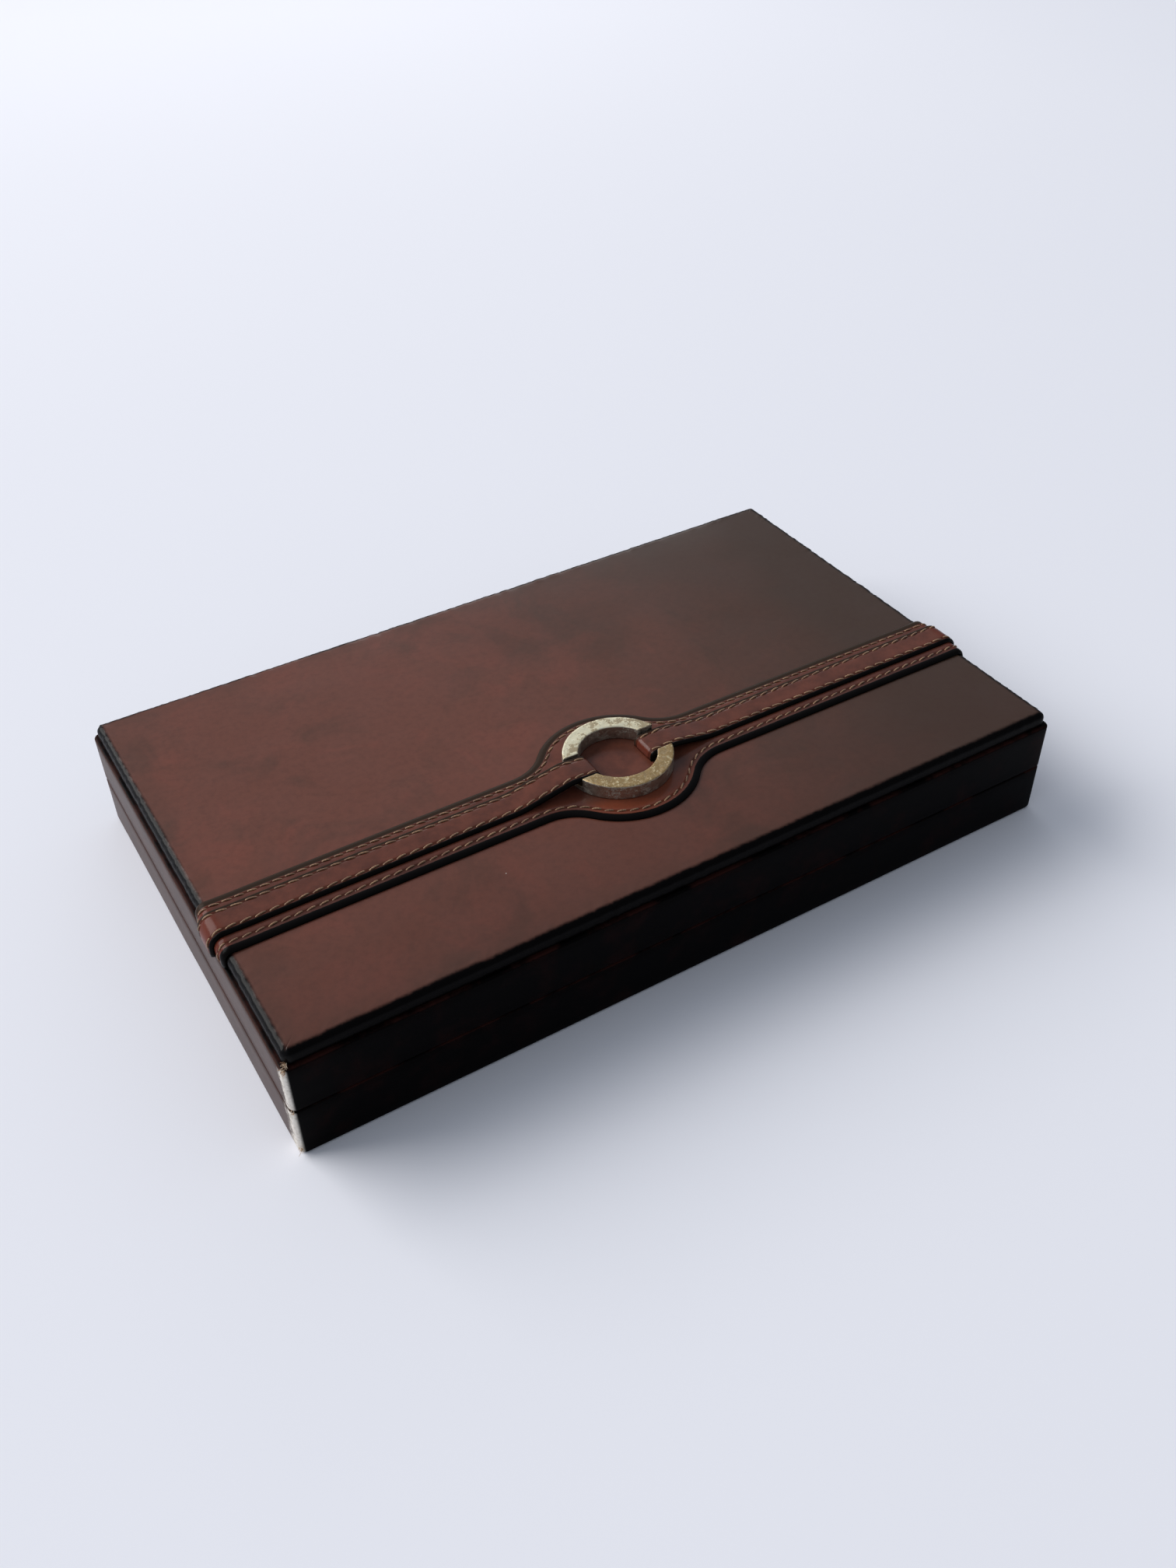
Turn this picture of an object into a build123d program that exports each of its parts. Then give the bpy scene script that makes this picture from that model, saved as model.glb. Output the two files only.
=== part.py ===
"""Poker chip case: a leather-covered box with a hinged lid, chip troughs, and a strap with a ring.

Millimetres. +X runs along the long side, +Y points to the hinges and +Z up.
The origin is the middle of the underside.
"""

import os
from math import atan, cos, radians, sin, sqrt, tan

from build123d import *

os.makedirs("parts", exist_ok=True)

# Overall size, over the leather
length = 340.0
width = 208.0
corner_radius = 3.0  # upright corners
seam_gap = 0.3  # between the closed lid and the base

# What the case holds
chip_diameter = 39.0
chip_clearance = 0.5  # radial, between a chip and its trough
chip_headroom = 0.5  # over the chips, under the closed lid
troughs_per_side = 2
card_well_length = 95.0

# Sheet and board
leather = 1.0
wall = 7.0
bottom_board = 2.5
suede = 0.8
edge_round = 0.8  # leather folded over an edge

# Chip troughs and wells
rim_drop = 1.5  # the rim lies this far under the middle of the chips
trough_floor = 0.5  # wood under the lowest line of a trough
trough_side = 1.5  # wood beside the mouth of a trough
trough_suede = 0.5
trough_recess = 0.5  # tops of troughs and rails under the rim
fit_gap = 0.2  # round pieces that are glued in
rail = 3.0
felt = 0.8

# Padded panel on the lid
panel_inset = 1.6  # its sides lie this far inside the box's sides
panel_corner_radius = 3.0
panel_board = 3.2
panel_padding = 1.8
panel_leather = 1.2
panel_edge_radius = 2.8

# Straps
strap_offset = 37.2  # centre line of the straps, towards the front
wide_strap_width = 28.8
wide_strap_thickness = 1.6
lobe_radius = 32.8  # round widening under the ring
lobe_blend = 20.0  # hollow curve from the lobe to the straight edge
narrow_strap_width = 13.6
narrow_strap_thickness = 1.6
strap_tail_gap = 0.2  # strap ends above the top of the lid's walls
thread = 0.7
thread_height = 0.3
wide_stitch_inset = 4.4  # from the strap's edge
narrow_stitch_inset = 2.3

# Ring
ring_outer_radius = 22.0
ring_inner_radius = 15.6
ring_height = 6.3
ring_bridge = 2.2  # what is left under a notch
ring_chamfer = 0.3
notch_clearance = 0.3  # beside the strap in a notch
strap_ramp = 15.0  # run over which a strap climbs to its notch
ramp_radius = 12.0
turn_radius = 0.9  # where a strap turns down inside the ring
turn_clearance = 0.1

# Hinges
hinge_spacing = 210.0
hinge_length = 32.0
knuckles = 5
knuckle_gap = 0.15
barrel_radius = 2.4
barrel_gap = 0.3  # from the barrel to the backs of lid and base
pin_radius = 1.1
pin_clearance = 0.05
leaf_thickness = 1.2
leaf_depth = 6.6  # of a leaf on the edge of its wall
opening_angle = 100.0
stop_gap_angle = 0.5  # left between the stop heels at full opening
heel_reach = 1.3  # of the stop heels beyond the barrel
heel_angle = 25.0
screw_spacing = 20.0
screw_radius = 1.0
screw_head_radius = 1.9
screw_length = 8.0
screw_slot_width = 0.5
screw_slot_depth = 0.5
pilot_clearance = 0.02

# Magnets in the front rims
magnet_spacing = 220.0
magnet_radius = 2.5
magnet_height = 3.0
magnet_clearance = 0.05

# Derived sizes
inner_length = length - 2 * (leather + wall)
inner_width = width - 2 * (leather + wall)
lined_length = inner_length - 2 * suede
lined_width = inner_width - 2 * suede

trough_radius = chip_diameter / 2 + chip_clearance
trough_bore = trough_radius + trough_suede
trough_width = 2 * (trough_bore + trough_side)
centre_width = lined_length - 2 * troughs_per_side * trough_width

floor_top = leather + bottom_board
trough_axis = floor_top + trough_floor + trough_bore
base_height = trough_axis - rim_drop
trough_top = base_height - trough_recess
lid_rim = base_height + seam_gap
ceiling = trough_axis - chip_clearance + chip_diameter / 2 + chip_headroom
lid_top = ceiling + suede

panel_length = length - 2 * panel_inset
panel_width = width - 2 * panel_inset
padding_base = lid_top + panel_board
panel_top = padding_base + panel_padding + panel_leather

strap_y = -strap_offset
wide_strap_top = panel_top + wide_strap_thickness
narrow_strap_top = wide_strap_top + narrow_strap_thickness
strap_tail = lid_top + strap_tail_gap
flat_end = panel_length / 2 - panel_edge_radius
notch_width = narrow_strap_width + 2 * notch_clearance
notch_floor = wide_strap_top + ring_bridge
ring_wall_x = sqrt(ring_inner_radius**2 - (narrow_strap_width / 2) ** 2)
turn_x = ring_wall_x - turn_radius - turn_clearance
ramp_bend = ramp_radius * tan(atan(ring_bridge / strap_ramp) / 2)
ramp_top_x = ring_outer_radius + turn_clearance + ramp_bend
ramp_foot_x = ramp_top_x + strap_ramp

hinge_y = width / 2 + barrel_gap + barrel_radius
hinge_z = base_height + seam_gap / 2
leaf_front = width / 2 - leaf_depth
screw_y = width / 2 - leaf_depth / 2
knuckle_length = (hinge_length - (knuckles - 1) * knuckle_gap) / knuckles
knuckle_pitch = knuckle_length + knuckle_gap
heel_start = (opening_angle + stop_gap_angle) / 2
heel_radius = barrel_radius + heel_reach
magnet_y = -(width / 2 - leather - wall / 2)


def save(piece, name):
    """Labels a finished piece and writes its STEP file."""
    piece.part.label = name
    export_step(piece.part, f"parts/{name}.step")


def block(size_x, size_y, bottom, top, x=0.0, y=0.0):
    """An upright block between two heights."""
    with BuildPart() as piece:
        with BuildSketch(Plane.XY.offset(bottom)):
            with Locations((x, y)):
                Rectangle(size_x, size_y)
        extrude(amount=top - bottom)
    return piece


def discs(radius, bottom, top, places):
    """Upright round pieces at a list of places."""
    with BuildPart() as piece:
        with BuildSketch(Plane.XY.offset(bottom)):
            with Locations(*places):
                Circle(radius)
        extrude(amount=top - bottom)
    return piece


# ---------------------------------------------------------------- hinges and magnets

hinge_sides = {"left": -hinge_spacing / 2, "right": hinge_spacing / 2}
screw_places = [
    (x + dx, screw_y)
    for x in hinge_sides.values()
    for dx in (-screw_spacing / 2, screw_spacing / 2)
]
magnet_places = [(-magnet_spacing / 2, magnet_y), (magnet_spacing / 2, magnet_y)]


def hinge_leaf(centre_x, lid_side):
    """One leaf with its knuckles, stop heel, pin hole and countersunk screw holes."""
    up = 1 if lid_side else -1
    face = lid_rim if lid_side else base_height
    own = [k for k in range(knuckles) if (k % 2 == 1) == lid_side]
    others = [k for k in range(knuckles) if k not in own]
    start = centre_x - hinge_length / 2
    heel_from = up * heel_start
    heel_to = up * (heel_start + heel_angle)
    far = 2 * heel_radius
    hole = pin_radius + (pin_clearance if lid_side else 0.0)

    with BuildPart() as piece:
        # Plate on the edge of the wall, reaching to the middle of the barrel
        with BuildSketch(Plane.YZ.offset(start)):
            with Locations(((leaf_front + hinge_y) / 2, face + up * leaf_thickness / 2)):
                Rectangle(hinge_y - leaf_front, leaf_thickness)
        extrude(amount=hinge_length)
        # Room for the other leaf's knuckles
        for k in others:
            with BuildSketch(Plane.YZ.offset(start + k * knuckle_pitch - knuckle_gap)):
                with Locations((hinge_y, hinge_z)):
                    Circle(barrel_radius + barrel_gap)
            extrude(amount=knuckle_length + 2 * knuckle_gap, mode=Mode.SUBTRACT)
        # Stop heel along the whole barrel, clear of the other leaf's knuckles
        with BuildSketch(Plane.YZ.offset(start)):
            with Locations((hinge_y, hinge_z)):
                Circle(heel_radius)
                Circle(barrel_radius + knuckle_gap, mode=Mode.SUBTRACT)
            with BuildLine():
                Polyline(
                    (hinge_y, hinge_z),
                    (hinge_y + far * cos(radians(heel_from)), hinge_z + far * sin(radians(heel_from))),
                    (hinge_y + far * cos(radians(heel_to)), hinge_z + far * sin(radians(heel_to))),
                    close=True,
                )
            make_face(mode=Mode.INTERSECT)
        extrude(amount=hinge_length)
        # Its own knuckles, joined to the heel
        for k in own:
            with BuildSketch(Plane.YZ.offset(start + k * knuckle_pitch)):
                with Locations((hinge_y, hinge_z)):
                    Circle(heel_radius)
                with BuildLine():
                    Polyline(
                        (hinge_y, hinge_z),
                        (hinge_y + far * cos(radians(heel_from)), hinge_z + far * sin(radians(heel_from))),
                        (hinge_y + far * cos(radians(heel_to)), hinge_z + far * sin(radians(heel_to))),
                        close=True,
                    )
                make_face(mode=Mode.INTERSECT)
                with Locations((hinge_y, hinge_z)):
                    Circle(barrel_radius)
            extrude(amount=knuckle_length)
        with BuildSketch(Plane.YZ.offset(start)):
            with Locations((hinge_y, hinge_z)):
                Circle(hole)
        extrude(amount=hinge_length, mode=Mode.SUBTRACT)
        turn = 180 if lid_side else 0
        for dx in (-screw_spacing / 2, screw_spacing / 2):
            with Locations(Location((centre_x + dx, screw_y, face), (turn, 0, 0))):
                CounterSinkHole(
                    radius=screw_radius,
                    counter_sink_radius=screw_head_radius,
                    depth=leaf_thickness,
                    counter_sink_angle=90,
                )
    return piece


def hinge_screws(lid_side):
    """The four countersunk screws of one side of both hinges."""
    face = lid_rim if lid_side else base_height
    turn = 180 if lid_side else 0
    head = screw_head_radius - screw_radius
    with BuildPart() as piece:
        for x, y in screw_places:
            with Locations(Location((x, y, face), (turn, 0, 0))):
                with Locations((0, 0, -head / 2)):
                    Cone(screw_radius, screw_head_radius, head)
                with Locations((0, 0, -(head + screw_length) / 2)):
                    Cylinder(screw_radius, screw_length - head)
                with Locations((0, 0, -screw_slot_depth / 2)):
                    Box(
                        3 * screw_head_radius,
                        screw_slot_width,
                        screw_slot_depth,
                        mode=Mode.SUBTRACT,
                    )
    return piece


def hinge_pin(centre_x):
    """The pin, as long as the barrel."""
    with BuildPart() as piece:
        with BuildSketch(Plane.YZ.offset(centre_x - hinge_length / 2)):
            with Locations((hinge_y, hinge_z)):
                Circle(pin_radius)
        extrude(amount=hinge_length)
    return piece


def mortises(bottom, top):
    """The room that both leaves need on a rim."""
    with BuildPart() as piece:
        with BuildSketch(Plane.XY.offset(bottom)):
            for x in hinge_sides.values():
                with Locations((x, width / 2 - leaf_depth / 2)):
                    Rectangle(hinge_length + 2 * knuckle_gap, leaf_depth)
        extrude(amount=top - bottom)
    return piece


for side, side_x in hinge_sides.items():
    save(hinge_leaf(side_x, False), f"{side}_hinge_base_leaf")
    save(hinge_leaf(side_x, True), f"{side}_hinge_lid_leaf")
    save(hinge_pin(side_x), f"{side}_hinge_pin")
save(hinge_screws(False), "base_hinge_screws")
save(hinge_screws(True), "lid_hinge_screws")

base_magnet_top = base_height - leather
lid_magnet_bottom = lid_rim + leather
save(
    discs(magnet_radius, base_magnet_top - magnet_height, base_magnet_top, magnet_places),
    "base_magnets",
)
save(
    discs(magnet_radius, lid_magnet_bottom, lid_magnet_bottom + magnet_height, magnet_places),
    "lid_magnets",
)

# Cutters shared by the walls and the leather
base_mortises = mortises(base_height - leaf_thickness, base_height)
lid_mortises = mortises(lid_rim, lid_rim + leaf_thickness)
base_pilots = discs(
    screw_radius + pilot_clearance,
    base_height - screw_length - pilot_clearance,
    base_height,
    screw_places,
)
lid_pilots = discs(
    screw_radius + pilot_clearance,
    lid_rim,
    lid_rim + screw_length + pilot_clearance,
    screw_places,
)
base_pockets = discs(
    magnet_radius + magnet_clearance,
    base_magnet_top - magnet_height - magnet_clearance,
    base_magnet_top,
    magnet_places,
)
lid_pockets = discs(
    magnet_radius + magnet_clearance,
    lid_magnet_bottom,
    lid_magnet_bottom + magnet_height + magnet_clearance,
    magnet_places,
)


# ---------------------------------------------------------------- walls, leather and linings


def long_wall(side, bottom, top, cuts):
    """Front (side -1) or back (side 1) wall, as long as the box inside its leather."""
    outer = side * (width / 2 - leather)
    with BuildPart() as piece:
        with BuildSketch(Plane.XY.offset(bottom)):
            with Locations((0, outer - side * wall / 2)):
                Rectangle(length - 2 * leather, wall)
        extrude(amount=top - bottom)
        corners = piece.edges().filter_by(Axis.Z).sort_by(Axis.Y)
        fillet(corners[-2:] if side > 0 else corners[:2], corner_radius - leather)
        for cut in cuts:
            add(cut.part, mode=Mode.SUBTRACT)
    return piece


def leather_wrap(bottom, top, turned_at_bottom, turned_at_top, cuts):
    """Leather round four walls, turned in over the wall edges that are named."""
    inside_bottom = bottom + (leather if turned_at_bottom else 0.0)
    inside_top = top - (leather if turned_at_top else 0.0)
    with BuildPart() as piece:
        with BuildSketch(Plane.XY.offset(bottom)):
            RectangleRounded(length, width, corner_radius)
        extrude(amount=top - bottom)
        if turned_at_bottom:
            rim = piece.faces().sort_by(Axis.Z)[0]
            fillet(rim.edges(), edge_round)
        if turned_at_top:
            rim = piece.faces().sort_by(Axis.Z)[-1]
            fillet(rim.edges(), edge_round)
        with BuildSketch(Plane.XY.offset(inside_bottom)):
            RectangleRounded(length - 2 * leather, width - 2 * leather, corner_radius - leather)
        extrude(amount=inside_top - inside_bottom, mode=Mode.SUBTRACT)
        with BuildSketch(Plane.XY.offset(bottom)):
            Rectangle(inner_length, inner_width)
        extrude(amount=top - bottom, mode=Mode.SUBTRACT)
        for cut in cuts:
            add(cut.part, mode=Mode.SUBTRACT)
    return piece


def wall_lining(bottom, top):
    """A loop of suede on the inner faces of the walls."""
    with BuildPart() as piece:
        with BuildSketch(Plane.XY.offset(bottom)):
            Rectangle(inner_length, inner_width)
            Rectangle(lined_length, lined_width, mode=Mode.SUBTRACT)
        extrude(amount=top - bottom)
    return piece


def save_walls(body, bottom, top, front_cuts, back_cuts):
    """The four walls of the lid or the base."""
    save(long_wall(-1, bottom, top, front_cuts), f"{body}_front_wall")
    save(long_wall(1, bottom, top, back_cuts), f"{body}_back_wall")
    end_x = length / 2 - leather - wall / 2
    save(block(wall, inner_width, bottom, top, x=-end_x), f"{body}_left_wall")
    save(block(wall, inner_width, bottom, top, x=end_x), f"{body}_right_wall")


with BuildPart() as base_bottom_cover:
    with BuildSketch():
        RectangleRounded(length, width, corner_radius)
    extrude(amount=leather)
    fillet(base_bottom_cover.faces().sort_by(Axis.Z)[0].edges(), edge_round)
save(base_bottom_cover, "base_bottom_cover")

with BuildPart() as base_bottom_board:
    with BuildSketch(Plane.XY.offset(leather)):
        RectangleRounded(length - 2 * leather, width - 2 * leather, corner_radius - leather)
    extrude(amount=bottom_board)
save(base_bottom_board, "base_bottom_board")

save_walls(
    "base",
    floor_top,
    base_height - leather,
    [base_pockets],
    [base_mortises, base_pilots],
)
save_walls(
    "lid",
    lid_rim + leather,
    lid_top - leather,
    [lid_pockets],
    [lid_mortises, lid_pilots],
)
save(leather_wrap(leather, base_height, False, True, [base_mortises]), "base_leather")
save(leather_wrap(lid_rim, lid_top, True, True, [lid_mortises]), "lid_leather")
save(wall_lining(floor_top, base_height - fit_gap), "base_wall_lining")
save(wall_lining(lid_rim + fit_gap, ceiling), "lid_wall_lining")
save(block(inner_length, inner_width, ceiling, lid_top), "lid_ceiling_lining")

# ---------------------------------------------------------------- chip troughs and wells

trough_length = lined_width - 2 * fit_gap
trough_places = []
for nth in range(troughs_per_side):
    from_end = lined_length / 2 - fit_gap - (nth + 0.5) * trough_width
    trough_places += [-from_end, from_end]

for number, trough_x in enumerate(sorted(trough_places), start=1):
    with BuildPart() as chip_trough:
        with BuildSketch(Plane.XZ):
            with Locations((trough_x, (floor_top + trough_top) / 2)):
                Rectangle(trough_width, trough_top - floor_top)
            with Locations((trough_x, trough_axis)):
                Circle(trough_bore, mode=Mode.SUBTRACT)
        extrude(amount=trough_length / 2, both=True)
    save(chip_trough, f"chip_trough_{number}")

    with BuildPart() as trough_lining:
        with BuildSketch(Plane.XZ):
            with Locations((trough_x, trough_axis)):
                Circle(trough_bore)
                Circle(trough_radius, mode=Mode.SUBTRACT)
            with Locations((trough_x, (floor_top + trough_top) / 2)):
                Rectangle(trough_width, trough_top - floor_top, mode=Mode.INTERSECT)
        extrude(amount=trough_length / 2, both=True)
    save(trough_lining, f"trough_lining_{number}")

well_width = centre_width - 4 * fit_gap
front_y = -lined_width / 2 + fit_gap
back_y = lined_width / 2 - fit_gap
rail_y = front_y + card_well_length + rail / 2
save(block(well_width, rail, floor_top, trough_top, y=rail_y), "centre_rail")
divider_y = front_y + card_well_length / 2
divider_length = card_well_length - fit_gap
save(block(rail, divider_length, floor_top, trough_top, y=divider_y), "card_divider")

card_pad_width = (well_width - rail) / 2 - 2 * fit_gap
card_pad_x = (rail + card_pad_width) / 2 + fit_gap
dice_well_length = back_y - (rail_y + rail / 2)
with BuildPart() as well_pads:
    with BuildSketch(Plane.XY.offset(floor_top)):
        with Locations((-card_pad_x, divider_y), (card_pad_x, divider_y)):
            Rectangle(card_pad_width, card_well_length - 2 * fit_gap)
        with Locations((0, back_y - dice_well_length / 2)):
            Rectangle(well_width - 2 * fit_gap, dice_well_length - 2 * fit_gap)
    extrude(amount=felt)
save(well_pads, "well_pads")

# ---------------------------------------------------------------- padded panel

board_length = panel_length - 2 * panel_leather
board_width = panel_width - 2 * panel_leather
board_corner = panel_corner_radius - panel_leather

with BuildPart() as board:
    with BuildSketch(Plane.XY.offset(lid_top)):
        RectangleRounded(board_length, board_width, board_corner)
    extrude(amount=panel_board)
save(board, "panel_board")

with BuildPart() as padding:
    with BuildSketch(Plane.XY.offset(padding_base)):
        RectangleRounded(board_length, board_width, board_corner)
    extrude(amount=panel_padding)
    fillet(padding.faces().sort_by(Axis.Z)[-1].edges(), panel_edge_radius - panel_leather)
save(padding, "panel_padding")

with BuildPart() as panel_cover:
    with BuildSketch(Plane.XY.offset(lid_top)):
        RectangleRounded(panel_length, panel_width, panel_corner_radius)
    extrude(amount=panel_top - lid_top)
    fillet(panel_cover.faces().sort_by(Axis.Z)[-1].edges(), panel_edge_radius)
    fillet(panel_cover.faces().sort_by(Axis.Z)[0].edges(), edge_round)
    add(board.part, mode=Mode.SUBTRACT)
    add(padding.part, mode=Mode.SUBTRACT)
save(panel_cover, "panel_leather")

# ---------------------------------------------------------------- straps, threads and ring


def strap_outline(inset):
    """Outline of the wide strap with its lobe, shrunk by an inset; ends at the panel's bends."""
    with BuildSketch() as outline:
        with Locations((0, strap_y)):
            Rectangle(2 * flat_end, wide_strap_width - 2 * inset)
            Circle(lobe_radius - inset)
        joins = outline.vertices().filter_by_position(Axis.X, 1 - flat_end, flat_end - 1)
        fillet(joins, lobe_blend + inset)
    return outline.sketch


with BuildPart() as wide_strap:
    with BuildSketch(Plane.XY.offset(panel_top)):
        add(strap_outline(0.0))
    extrude(amount=wide_strap_thickness)
    # Ends wrapped over the panel's rounded edges and tucked into the groove
    with BuildSketch(Plane.XZ.offset(-strap_y)):
        with BuildLine():
            bend = (flat_end, panel_top - panel_edge_radius)
            outer = CenterArc(bend, panel_edge_radius + wide_strap_thickness, 0, 90)
            inner = CenterArc(bend, panel_edge_radius, 0, 90)
            Line(outer @ 1, inner @ 1)
            Polyline(
                outer @ 0,
                (panel_length / 2 + wide_strap_thickness, strap_tail),
                (panel_length / 2, strap_tail),
                inner @ 0,
            )
        make_face()
        mirror(about=Plane.YZ)
    extrude(amount=wide_strap_width / 2, both=True)
save(wide_strap, "wide_strap")


def narrow_strap(side):
    """A narrow strap from the groove, over the wide strap, up to its notch and down inside the ring."""
    under = panel_length / 2 + wide_strap_thickness
    path = [
        (side * under, strap_tail),
        (side * under, wide_strap_top),
        (side * ramp_foot_x, wide_strap_top),
        (side * ramp_top_x, notch_floor),
        (side * turn_x, notch_floor),
        (side * turn_x, wide_strap_top),
    ]
    radii = [panel_edge_radius + wide_strap_thickness, ramp_radius, ramp_radius, turn_radius]
    with BuildPart() as piece:
        with BuildSketch(Plane.XZ.offset(-strap_y)):
            with BuildLine():
                FilletPolyline(*path, radius=radii)
                offset(
                    amount=narrow_strap_thickness,
                    side=Side.LEFT if side < 0 else Side.RIGHT,
                )
            make_face()
        extrude(amount=narrow_strap_width / 2, both=True)
    return piece


save(narrow_strap(-1), "left_strap")
save(narrow_strap(1), "right_strap")

with BuildPart() as wide_strap_thread:
    with BuildSketch(Plane.XY.offset(wide_strap_top)):
        add(strap_outline(wide_stitch_inset - thread / 2))
        add(strap_outline(wide_stitch_inset + thread / 2), mode=Mode.SUBTRACT)
        with Locations((0, strap_y)):
            Rectangle(2 * (flat_end - 1), 3 * lobe_radius, mode=Mode.INTERSECT)
    extrude(amount=thread_height)
save(wide_strap_thread, "wide_strap_thread")

thread_row_length = flat_end - ramp_foot_x - ramp_bend
thread_row_x = (flat_end + ramp_foot_x + ramp_bend) / 2
thread_row_y = narrow_strap_width / 2 - narrow_stitch_inset
with BuildPart() as narrow_strap_thread:
    with BuildSketch(Plane.XY.offset(narrow_strap_top)):
        with Locations((-thread_row_x, strap_y), (thread_row_x, strap_y)):
            with GridLocations(1, 2 * thread_row_y, 1, 2):
                Rectangle(thread_row_length, thread)
    extrude(amount=thread_height)
save(narrow_strap_thread, "narrow_strap_thread")

with BuildPart() as ring:
    with BuildSketch(Plane.XY.offset(wide_strap_top)):
        with Locations((0, strap_y)):
            Circle(ring_outer_radius)
            Circle(ring_inner_radius, mode=Mode.SUBTRACT)
    extrude(amount=ring_height)
    chamfer(ring.faces().sort_by(Axis.Z)[-1].edges(), ring_chamfer)
    with BuildSketch(Plane.XY.offset(notch_floor)):
        with Locations((0, strap_y)):
            Rectangle(3 * ring_outer_radius, notch_width)
    extrude(amount=ring_height, mode=Mode.SUBTRACT)
save(ring, "ring")

print("base height", base_height, "lid top", lid_top, "panel top", panel_top)
print("well width", well_width, "dice well", dice_well_length, "hinge axis", hinge_y, hinge_z)
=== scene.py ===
"""Looks of the poker chip case: polished leather, sewn straps, a worn ring, suede inside.

Metres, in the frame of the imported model: +X along the long side, +Y to the hinges, +Z up.
"""

import math
import random

import bmesh
import bpy
from mathutils import Matrix, Vector, noise


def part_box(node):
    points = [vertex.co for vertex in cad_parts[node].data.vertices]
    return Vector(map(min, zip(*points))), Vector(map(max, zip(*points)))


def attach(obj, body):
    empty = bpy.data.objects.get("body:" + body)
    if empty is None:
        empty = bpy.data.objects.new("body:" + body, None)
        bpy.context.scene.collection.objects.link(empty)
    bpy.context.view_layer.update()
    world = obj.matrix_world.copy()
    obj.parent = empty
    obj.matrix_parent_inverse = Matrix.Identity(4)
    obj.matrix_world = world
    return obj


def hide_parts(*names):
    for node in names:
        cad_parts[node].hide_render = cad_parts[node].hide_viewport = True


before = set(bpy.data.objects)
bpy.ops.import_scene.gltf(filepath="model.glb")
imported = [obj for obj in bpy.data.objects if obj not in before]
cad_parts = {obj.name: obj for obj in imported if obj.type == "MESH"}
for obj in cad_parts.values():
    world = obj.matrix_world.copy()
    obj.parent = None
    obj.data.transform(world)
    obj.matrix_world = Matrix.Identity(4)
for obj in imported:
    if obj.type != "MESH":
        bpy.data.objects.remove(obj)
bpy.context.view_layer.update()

mm = 0.001
random.seed(7)

# ---------------------------------------------------------------- camera

CAMERA_TARGET = Vector((-0.0090, -0.0289, 0.040))
CAMERA_DISTANCE = 0.5703
CAMERA_HEADING = math.radians(-30.74)
CAMERA_ELEVATION = math.radians(40.22)
CAMERA_ROLL = math.radians(-1.04)
CAMERA_LENS = 32.57


def make_camera():
    """The camera, turned about its target by heading, elevation and a slight roll."""
    back = Vector((
        math.sin(CAMERA_HEADING) * math.cos(CAMERA_ELEVATION),
        -math.cos(CAMERA_HEADING) * math.cos(CAMERA_ELEVATION),
        math.sin(CAMERA_ELEVATION),
    ))
    data = bpy.data.cameras.new("camera")
    data.lens = CAMERA_LENS
    data.sensor_width = 36.0
    data.clip_start = 0.01
    data.clip_end = 50.0
    camera = bpy.data.objects.new("camera", data)
    bpy.context.scene.collection.objects.link(camera)
    camera.rotation_mode = "QUATERNION"
    level = (-back).to_track_quat("-Z", "Y")
    roll = Matrix.Rotation(CAMERA_ROLL, 3, "Z").to_quaternion()
    camera.rotation_quaternion = level @ roll
    camera.location = CAMERA_TARGET + back * CAMERA_DISTANCE
    bpy.context.scene.camera = camera


make_camera()

# ---------------------------------------------------------------- sizes read from the CAD pieces

panel_low, panel_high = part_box("panel_leather")
lid_low, lid_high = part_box("lid_leather")
base_low, base_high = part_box("base_leather")
wide_low, wide_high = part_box("wide_strap")
left_low, left_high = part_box("left_strap")
ring_low, ring_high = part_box("ring")

HALF_LENGTH = lid_high.x
HALF_WIDTH = lid_high.y
CORNER = 3.0 * mm
LEATHER = 0.95 * mm
TURN_IN = 7.95 * mm
WAVINESS = 0.10 * mm
PANEL_TOP = panel_high.z
PANEL_HALF_LENGTH = panel_high.x
PANEL_HALF_WIDTH = panel_high.y
PANEL_EDGE = 2.8 * mm
PANEL_CROWN = 0.35 * mm
STRAP_Y = (wide_low.y + wide_high.y) / 2
LOBE_RADIUS = (wide_high.y - wide_low.y) / 2
LOBE_BLEND = 20.0 * mm
WIDE_HALF = 14.4 * mm
WIDE_THICKNESS = wide_high.z - PANEL_TOP
WIDE_STITCH = 4.4 * mm
WIDE_DYE = 3.3 * mm
WIDE_PITCH = 4.8 * mm
NARROW_HALF = (left_high.y - left_low.y) / 2
NARROW_THICKNESS = wide_low.x - left_low.x
NARROW_STITCH = 2.3 * mm
NARROW_DYE = 1.6 * mm
NARROW_PITCH = 5.4 * mm
STITCH_SLANT = 0.42 * mm
STITCH_HEIGHT = 0.90
RING_OUTER = (ring_high.x - ring_low.x) / 2
STRAP_TURN = -left_high.x
NOTCH_FLOOR = 2.2 * mm


# ---------------------------------------------------------------- shader expressions


class Value:
    """One socket of a material, so that shader maths can be written as an expression."""

    def __init__(self, shader, socket):
        self.shader = shader
        self.socket = socket

    def math(self, operation, *others):
        return self.shader.node("Math", {"operation": operation}, dict(enumerate((self, *others))))

    def __add__(self, other):
        return self.math("ADD", other)

    def __sub__(self, other):
        return self.math("SUBTRACT", other)

    def __mul__(self, other):
        return self.math("MULTIPLY", other)

    def __truediv__(self, other):
        return self.math("DIVIDE", other)

    def __rsub__(self, other):
        return self.shader.node("Math", {"operation": "SUBTRACT"}, {0: other, 1: self})

    __radd__ = __add__

    def __abs__(self):
        return self.math("ABSOLUTE")

    def least(self, other):
        return self.math("MINIMUM", other)

    def most(self, other):
        return self.math("MAXIMUM", other)

    def ramp(self, start, end):
        """0 at start and 1 at end, with a smooth run between them."""
        settings = {"interpolation_type": "SMOOTHSTEP"}
        return self.shader.node("MapRange", settings, {"Value": self, "From Min": start, "From Max": end})


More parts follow.
